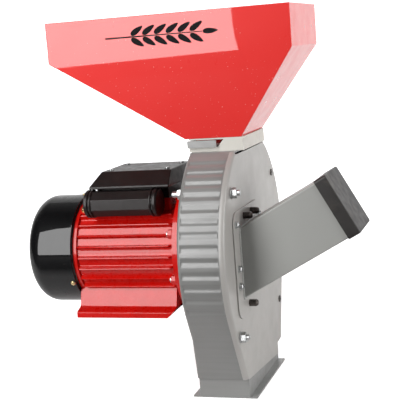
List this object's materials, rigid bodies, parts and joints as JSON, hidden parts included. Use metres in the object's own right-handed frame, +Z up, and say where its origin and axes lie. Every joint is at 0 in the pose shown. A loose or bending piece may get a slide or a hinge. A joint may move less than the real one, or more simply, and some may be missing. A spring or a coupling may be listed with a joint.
{
  "type": "hammer mill",
  "caption": "Electric swing-hammer mill for grain and cobs: finned motor, fluted drum, red feed hopper with sliding gate, capped cob chute on a removable cover.",
  "frame": {"origin": "centre of the underside of the discharge flange", "axes": "+X along the rotor shaft from the motor to the cover, +Z up, +Y across the mill"},
  "size_m": [0.5014, 0.3292, 0.54],
  "materials": {
    "chamber_grey": "satin powder coat",
    "cover_grey": "satin powder coat",
    "chute_grey": "satin powder coat",
    "hopper_red": "gloss powder coat",
    "collar_white": "satin off-white",
    "motor_red": "gloss enamel over casting",
    "cowl_black": "gloss black",
    "box_black": "moulded satin",
    "cap_black": "moulded satin",
    "zinc_bright": "bright zinc",
    "zinc_yellow": "yellow passivated zinc",
    "black_oxide": "black oxide",
    "plain_steel": "machined",
    "hardened_steel": "oiled mill scale",
    "sieve_steel": "perforated sheet",
    "lamination": "stacked laminations",
    "copper": "varnished copper",
    "cast_aluminium": "as cast",
    "seal_rubber": "matte",
    "fan_plastic": "moulded",
    "capacitor_white": "gloss",
    "block_ivory": "moulded",
    "rocker_green": "gloss"
  },
  "bodies": {
    "mill": {"chamber_shell": "chamber_grey", "discharge_flange": "chamber_grey", "sieve": "sieve_steel", "sieve_rail": "plain_steel", "hopper": "hopper_red", "hopper_collar": "collar_white", "hopper_bolts": "zinc_bright", "motor_frame": "motor_red", "tie_rods": "zinc_yellow", "earth_screw": "zinc_yellow", "stator_core": "lamination", "stator_winding": "copper", "rear_shield": "motor_red", "front_shield": "motor_red", "flange_bolts": "zinc_bright", "flange_nuts": "motor_red", "bearing_balls": "plain_steel", "shaft_seal": "seal_rubber", "fan_cowl": "cowl_black", "cowl_screws": "zinc_yellow", "terminal_box": "box_black", "terminal_lid": "box_black", "lid_screws": "black_oxide", "capacitor_housing": "box_black", "capacitor": "capacitor_white", "terminal_block": "block_ivory", "switch_body": "box_black", "cable_gland": "box_black", "cover_studs": "zinc_bright", "front_bearing_outer": "plain_steel", "rear_bearing_outer": "plain_steel"},
    "rotor": {"shaft": "plain_steel", "shaft_key": "plain_steel", "rotor_core": "lamination", "rotor_cage": "cast_aluminium", "cooling_fan": "fan_plastic", "fan_clip": "black_oxide", "rear_disc": "hardened_steel", "front_disc": "hardened_steel", "cob_knives": "hardened_steel", "hammer_pins": "plain_steel", "pin_clips": "black_oxide", "hammer_spacers": "plain_steel", "rotor_nut": "zinc_bright", "front_bearing_inner": "plain_steel", "rear_bearing_inner": "plain_steel"},
    "hammer_row_1": {"hammers_1": "hardened_steel"},
    "hammer_row_2": {"hammers_2": "hardened_steel"},
    "hammer_row_3": {"hammers_3": "hardened_steel"},
    "hammer_row_4": {"hammers_4": "hardened_steel"},
    "cover": {"cover": "cover_grey", "chute_plate": "chute_grey", "chute": "chute_grey", "chute_screws": "zinc_bright", "chute_bolts": "black_oxide", "cover_nuts": "zinc_bright", "cover_screws": "black_oxide"},
    "chute_cap": {"chute_cap": "cap_black"},
    "gate": {"gate": "chamber_grey"},
    "switch_rocker": {"switch_rocker": "rocker_green"}
  },
  "joints": [
    {"name": "rotor_spin", "type": "hinge", "parent": "mill", "child": "rotor", "pos_m": [-0.1, 0, 0.2023], "axis": [1, 0, 0], "continuous": true},
    {"name": "hammer_swing_1", "type": "hinge", "parent": "rotor", "child": "hammer_row_1", "pos_m": [0.003, 0.04384, 0.24614], "axis": [1, 0, 0], "range_deg": [-10, 280]},
    {"name": "hammer_swing_2", "type": "hinge", "parent": "rotor", "child": "hammer_row_2", "pos_m": [0.003, -0.04384, 0.24614], "axis": [1, 0, 0], "range_deg": [-280, 10]},
    {"name": "hammer_swing_3", "type": "hinge", "parent": "rotor", "child": "hammer_row_3", "pos_m": [0.003, -0.04384, 0.15846], "axis": [1, 0, 0], "range_deg": [-190, 100]},
    {"name": "hammer_swing_4", "type": "hinge", "parent": "rotor", "child": "hammer_row_4", "pos_m": [0.003, 0.04384, 0.15846], "axis": [1, 0, 0], "range_deg": [-100, 190]},
    {"name": "cover_lift_off", "type": "slide", "parent": "mill", "child": "cover", "axis": [1, 0, 0], "range_m": [0, 0.16]},
    {"name": "cap_pull_off", "type": "slide", "parent": "cover", "child": "chute_cap", "axis": [0.8755, 0, 0.4833], "range_m": [0, 0.04]},
    {"name": "gate_slide", "type": "slide", "parent": "mill", "child": "gate", "axis": [0, -1, 0], "range_m": [0, 0.085]},
    {"name": "switch_rock", "type": "hinge", "parent": "mill", "child": "switch_rocker", "pos_m": [-0.124, 0.065, 0.281], "axis": [0, 0, 1], "range_deg": [-12, 0]}
  ]
}
